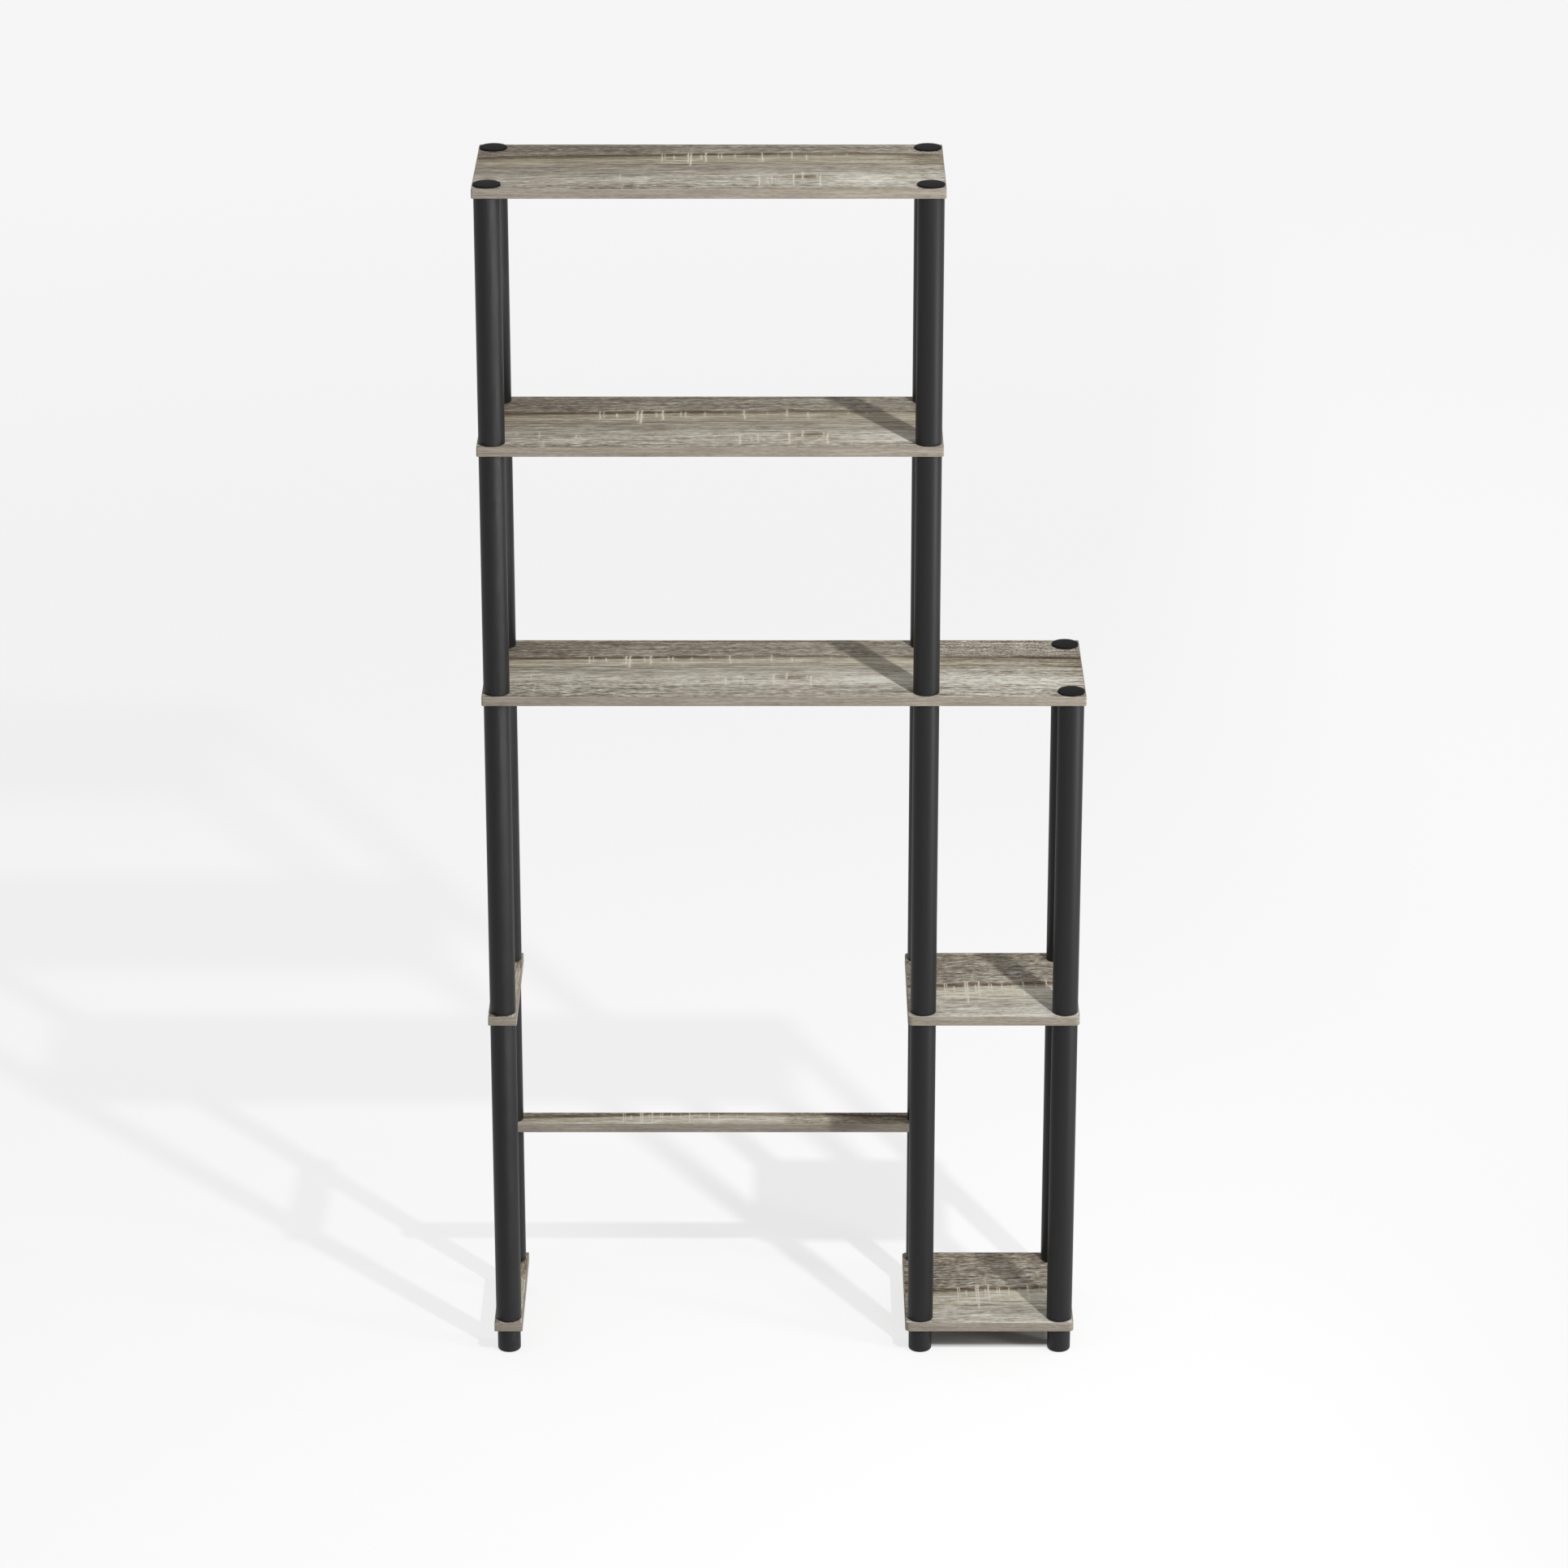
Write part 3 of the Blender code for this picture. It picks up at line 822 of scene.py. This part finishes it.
def print_on(face, uv, grain, node, low, high, height):
    """Lay the printed sheet and the grain on a face of a board: metres along and across."""
    tick, line, along, across = PRINTS[node][: -len(BOARD_NUMBERS)]
    shift = UNDERSIDE_SHIFT if height < (low.z + high.z) / 2 else 0.0
    for loop in face.loops:
        x, y, _ = loop.vert.co
        if node in STRIPS_ALONG_Y:
            run, over = (y - low.y) * MILLIMETRES, (x - low.x) * MILLIMETRES
        else:
            run, over = (x - low.x) * MILLIMETRES, (high.y - y) * MILLIMETRES
        p = (run - tick) / along + FIRST_TICK + shift
        loop[uv].uv = (p / MILLIMETRES, (over - line) / across / MILLIMETRES)
        loop[grain].uv = ((run - tick + shift) / MILLIMETRES, (over - line) / MILLIMETRES)


def corner_of(node):
    """The radius of a board's corners in plan."""
    if node.startswith("side"):
        return SIDE_SHELF_CORNER
    return SHELF_CORNER if node.endswith("shelf") else STRIP_CORNER


def add_turned(node, profile, material):
    """Turn a profile of (radius, height) about a node's upright axis.

    A profile that comes back to its start makes a hollow piece. Any other is closed at both ends.
    """
    low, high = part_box(node)
    hollow = profile[0] == profile[-1]
    steps = profile[:-1] if hollow else profile
    bm = bmesh.new()
    rings = [circle(bm, (low + high) / 2, radius, height, SIDES) for radius, height in steps]
    for one, other in zip(rings, rings[1:]):
        bridge(bm, one, other)
    if hollow:
        bridge(bm, rings[-1], rings[0])
    else:
        bm.faces.new(rings[0])
        bm.faces.new(rings[-1])
    add_piece(node + "_finished", bm, [material], node)


def add_tube(node, material):
    """A drawn tube with softened ends, a socket above, and a plug's bore or a second socket below."""
    low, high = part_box(node)
    radius = (high.x - low.x) / 2
    bore = radius - TUBE_WALL
    foot = quarter((radius - TUBE_EDGE, low.z + TUBE_EDGE), TUBE_EDGE, FROM_BELOW, EDGE_STEPS)
    head = quarter((radius - TUBE_EDGE, high.z - TUBE_EDGE), TUBE_EDGE, FROM_SIDE, EDGE_STEPS)
    upper = high.z - SOCKET_DEPTH
    inner = [(STUD_HOLE_RADIUS, high.z), (STUD_HOLE_RADIUS, upper), (bore, upper)]
    if node.startswith(TWO_SOCKETS):
        lower = low.z + SOCKET_DEPTH
        inner += [(bore, lower), (STUD_HOLE_RADIUS, lower), (STUD_HOLE_RADIUS, low.z)]
    else:
        inner.append((bore, low.z))
    profile = foot + head + inner
    add_turned(node, [*profile, profile[0]], material)


def add_cap(node, material, board_face):
    """A flat cap with a rounded rim, and its stud below."""
    low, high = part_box(node)
    radius = (high.x - low.x) / 2
    seat = board_face + SEAT_GAP
    rim = quarter((radius - CAP_RIM, high.z - CAP_RIM), CAP_RIM, FROM_SIDE, EDGE_STEPS)
    stud = [(STUD_RADIUS, seat), (STUD_RADIUS, low.z + STUD_TIP), (STUD_RADIUS - STUD_TIP, low.z)]
    add_turned(node, [*reversed(rim), (radius, seat), *stud], material)


def add_foot(node, material, board_underside):
    """A foot with a rounded lower edge, and its stud above."""
    low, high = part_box(node)
    radius = (high.x - low.x) / 2
    seat = board_underside - SEAT_GAP
    edge = quarter((radius - FOOT_EDGE, low.z + FOOT_EDGE), FOOT_EDGE, FROM_BELOW, FOOT_STEPS)
    top = quarter((radius - TUBE_EDGE, seat - TUBE_EDGE), TUBE_EDGE, FROM_SIDE, EDGE_STEPS)
    stud = [(STUD_RADIUS, seat), (STUD_RADIUS, high.z - STUD_TIP), (STUD_RADIUS - STUD_TIP, high.z)]
    add_turned(node, edge + top + stud, material)


def add_object(frame):
    """Every piece of the shelf, in its finish."""
    nodes = frame["nodes"]
    faces = (oak_print(), edge_band())
    plastic = {name: black_plastic(name, *numbers) for name, numbers in PLASTICS.items()}
    feet = [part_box(node) for node in nodes if node.startswith("foot_")]
    posts = [((low.x + high.x) / 2, (low.y + high.y) / 2) for low, high in feet]
    for node in PRINTS:
        add_board(node, posts, faces)
    for node in list(nodes):
        if "_tube_" in node:
            add_tube(node, plastic["tube_black"])
        elif node.startswith("cap_"):
            under = "wide_shelf" if node.endswith("_right") else "top_shelf"
            add_cap(node, plastic["cap_black"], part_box(under)[1].z)
        elif node.startswith("foot_"):
            add_foot(node, plastic["foot_black"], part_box("side_bottom_shelf")[0].z)
        elif "_stud_" in node:
            nodes[node].data.materials.clear()
            nodes[node].data.materials.append(plastic["stud_plastic"])


def background_rays(g):
    """1 for rays that show the background: those of the camera, and gloss and glass."""
    path = g.node("LightPath")
    seen = 0.0
    for kind in BACKGROUND_RAYS:
        seen = g.math("MAXIMUM", seen, Num(g, path.outputs[kind]))
    return seen


def inside(g, x, y, node):
    """How far inside a board's outline a place is, seen from above."""
    low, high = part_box(node)
    across = g.math("MINIMUM", x - low.x, high.x - x)
    return g.math("MINIMUM", across, g.math("MINIMUM", y - low.y, high.y - y))


def apart(g, x, y, spot):
    """How far a place on the floor lies from a spot."""
    across, back = x - spot[0], y - spot[1]
    return g.math("SQRT", across * across + back * back)


def covered_floor(g, x, y):
    """1 well under a low board, and 0 in the open."""
    covered = 0.0
    for board in LOW_BOARDS:
        covered = g.math("MAXIMUM", covered, g.step(inside(g, x, y, board), *COVERED_FROM))
    return covered


def floor_material():
    """A pale floor that fades with distance as painted falloff of light, and keeps the shadows and the
    shade under low boards, which painted shade deepens.
    """
    g = Graph(bpy.data.materials.new("floor"))
    x, y, _ = g.parts(g.node("NewGeometry").outputs["Position"])
    # painted light: the floor's white is brighter near the shelf and falls off with distance
    away = g.step(apart(g, x, y, (0.0, 0.0)), *WHITE_FADES)
    white = NEAR_WHITE + away * (FAR_WHITE - NEAR_WHITE)
    beyond = g.step(x, *LAMP_SIDE)
    covered = covered_floor(g, x, y)
    follow = SHADOW_SHARE * (1.0 + LOW_DEPTH * g.step(apart(g, x, y, LOW_SHADOWS), *LOW_REACH))
    share = follow * (1.0 - g.math("MAXIMUM", away, beyond)) + covered
    glow = g.shader("Emission", white)
    # painted shade: under the low boards the lit floor's colour is darkened by position
    lit = g.shader("BsdfDiffuse", white * LIT_GAIN * (1.0 - covered * COVERED_PAINTED_SHADE))
    plain = g.shader("BsdfDiffuse", (FLOOR_BOUNCE, FLOOR_BOUNCE, FLOOR_BOUNCE, 1.0))
    shown = g.mix_shaders(g.math("MINIMUM", share, 1.0), glow, lit)
    surface = g.mix_shaders(background_rays(g), plain, shown)
    g.tree.nodes.remove(g.tree.nodes["Principled BSDF"])
    g.tree.links.new(surface.outputs[0], g.tree.nodes["Material Output"].inputs["Surface"])
    return g.owner


def add_floor():
    """A wide level floor under the feet."""
    bm = bmesh.new()
    bmesh.ops.create_grid(bm, x_segments=1, y_segments=1, size=FLOOR_REACH)
    mesh = bpy.data.meshes.new("studio_floor")
    bm.to_mesh(mesh)
    bm.free()
    mesh.materials.append(floor_material())
    floor = bpy.data.objects.new("studio_floor", mesh)
    bpy.context.scene.collection.objects.link(floor)


def add_world():
    """An even sky that lights the shelf softly and shows as the far background."""
    world = bpy.data.worlds.new("studio")
    bpy.context.scene.world = world
    g = Graph(world)
    sky = g.tree.nodes["Background"]
    sky.inputs["Color"].default_value = (1.0, 1.0, 1.0, 1.0)
    g.put(SKY_LEVEL + background_rays(g) * (FAR_WHITE - SKY_LEVEL), sky.inputs["Strength"])


def add_lamp(name, place, aim, power, shape, size):
    """An area lamp that points at a spot."""
    lamp = bpy.data.lights.new(name, "AREA")
    lamp.energy = power
    lamp.shape = shape
    lamp.size = size[0]
    lamp.size_y = size[-1]
    made = bpy.data.objects.new(name, lamp)
    made.location = place
    made.rotation_euler = (Vector(aim) - Vector(place)).to_track_quat("-Z", "Y").to_euler()
    bpy.context.scene.collection.objects.link(made)
    return made


def add_strip():
    """A narrow lamp with a grid, which shows only as a highlight on one post."""
    low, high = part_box(STRIP_POST)
    post = (low + high) / 2
    aim = (post.x, post.y, STRIP_PLACE[2])
    strip = add_lamp("strip", STRIP_PLACE, aim, STRIP_POWER, "RECTANGLE", STRIP_SIZE)
    strip.data.spread = STRIP_SPREAD
    strip.visible_diffuse = False


def add_camera():
    """The camera, at the height and distance that come nearest to the photograph without shift."""
    lens = bpy.data.cameras.new("camera")
    lens.lens = CAMERA_LENS
    lens.sensor_width = SENSOR_WIDTH
    lens.clip_end = 2 * FLOOR_REACH
    camera = bpy.data.objects.new("camera", lens)
    camera.location = CAMERA_PLACE
    camera.rotation_euler = Euler((math.pi / 2 - CAMERA_PITCH, 0.0, 0.0))
    bpy.context.scene.collection.objects.link(camera)
    bpy.context.scene.camera = camera


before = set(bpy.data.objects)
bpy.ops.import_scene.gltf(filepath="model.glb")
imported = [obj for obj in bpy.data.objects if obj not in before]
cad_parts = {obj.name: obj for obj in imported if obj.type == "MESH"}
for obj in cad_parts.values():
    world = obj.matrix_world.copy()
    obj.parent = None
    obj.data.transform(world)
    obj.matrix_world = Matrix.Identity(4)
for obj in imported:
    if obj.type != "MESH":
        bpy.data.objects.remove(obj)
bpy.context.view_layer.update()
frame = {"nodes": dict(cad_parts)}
add_object(frame)
add_floor()
add_world()
add_lamp("key", KEY_PLACE, KEY_AIM, KEY_POWER, "DISK", KEY_SIZE)
add_lamp("side", SIDE_PLACE, SIDE_AIM, SIDE_POWER, "RECTANGLE", SIDE_SIZE)
add_strip()
add_camera()
bpy.context.scene.view_settings.view_transform = "Standard"
